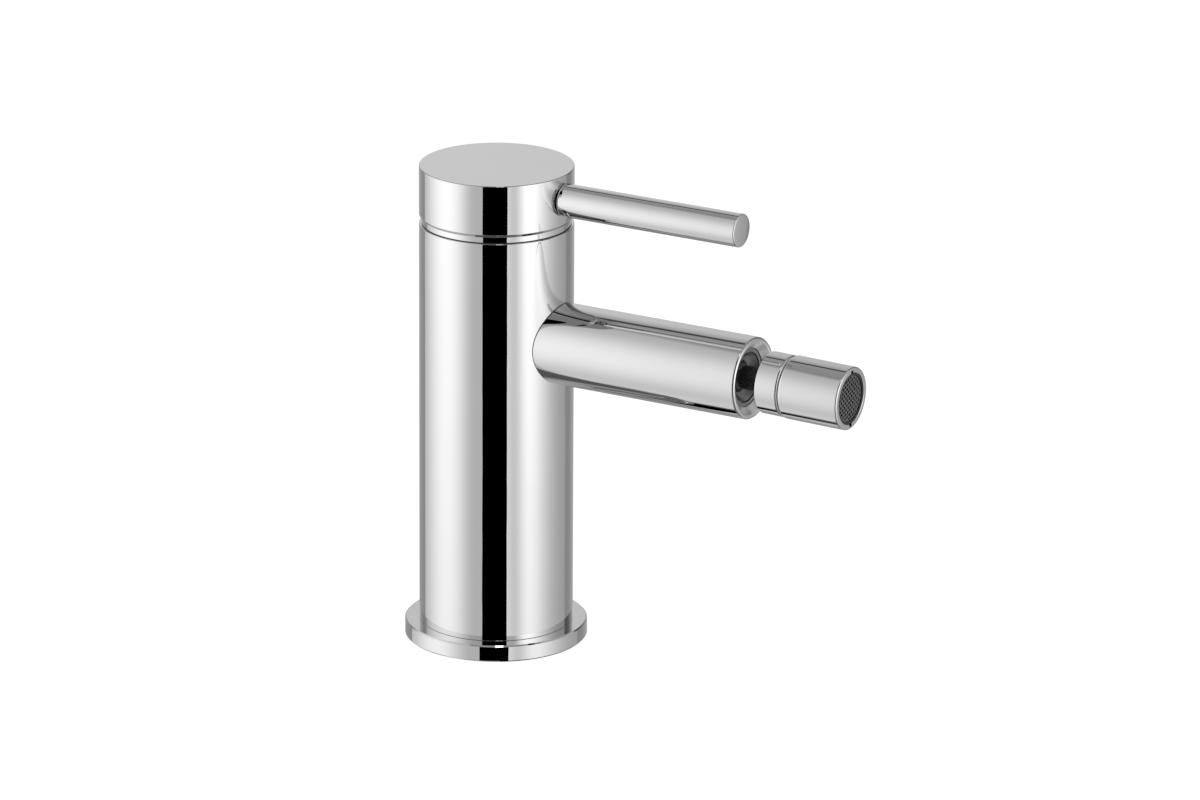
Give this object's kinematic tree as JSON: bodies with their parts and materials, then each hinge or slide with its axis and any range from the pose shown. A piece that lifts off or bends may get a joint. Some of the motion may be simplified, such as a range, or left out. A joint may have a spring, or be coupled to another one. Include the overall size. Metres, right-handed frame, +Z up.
{
  "type": "bidet mixer",
  "caption": "Deck-mounted single-lever bidet mixer: upright cylindrical body on a base ring, straight spout with a ball-jointed aerator nozzle, and a flat cap turned by a slim pin lever.",
  "frame": {"origin": "on the deck, at the middle of the base ring's underside, on the body's axis", "axes": "+Z up along the body's axis, +X along the spout and the lever at rest, +Y to the left of the spout seen from behind the body"},
  "size_m": [0.1504, 0.0558, 0.1495],
  "materials": {
    "polished_chrome": "polished",
    "brass": "satin",
    "copper": "satin",
    "black_rubber": "matte",
    "white_acetal": "satin",
    "ceramic": "satin",
    "white_ptfe": "matte",
    "dark_grey_ring": "satin",
    "black_acetal": "satin",
    "black_plastic": "satin",
    "grey_plastic": "satin",
    "steel": "satin"
  },
  "bodies": {
    "mixer": {"base_ring": "polished_chrome", "base_gasket": "black_rubber", "foot_block": "brass", "cold_riser": "copper", "hot_riser": "copper", "body_tube": "polished_chrome", "valve_block": "brass", "spout_tube": "polished_chrome", "spout_seal": "black_rubber", "cartridge_base": "white_acetal", "base_seals": "black_rubber", "disc_seals": "black_rubber", "fixed_disc": "ceramic", "cartridge_housing": "white_acetal", "cartridge_nut": "brass", "neck_ring": "polished_chrome", "seat_seal": "black_rubber", "ball_retainer": "dark_grey_ring"},
    "lever": {"handle_cap": "polished_chrome", "lever_rod": "polished_chrome", "grub_screw": "steel", "spindle": "brass", "spindle_seal": "black_rubber", "disc_carrier": "white_acetal", "moving_disc": "ceramic"},
    "swivel": {"ball_seat": "white_ptfe"},
    "nozzle": {"swivel_ball": "black_acetal", "nozzle_collar": "polished_chrome", "nozzle_gasket": "black_rubber", "nozzle_sleeve": "polished_chrome", "aerator_seal": "black_rubber", "aerator_housing": "black_plastic", "flow_disc": "grey_plastic", "aerator_screen": "grey_plastic"}
  },
  "joints": [
    {"name": "lever_turn", "type": "hinge", "parent": "mixer", "child": "lever", "pos_m": [0, 0, 0.14195], "axis": [0, 0, 1], "range_deg": [0, 100]},
    {"name": "nozzle_swivel", "type": "hinge", "parent": "mixer", "child": "swivel", "pos_m": [0.081, 0, 0.0967], "axis": [1, 0, 0], "continuous": true},
    {"name": "nozzle_tilt", "type": "hinge", "parent": "swivel", "child": "nozzle", "pos_m": [0.081, 0, 0.0967], "axis": [0, 1, 0], "range_deg": [-16.05, 13.95]}
  ]
}
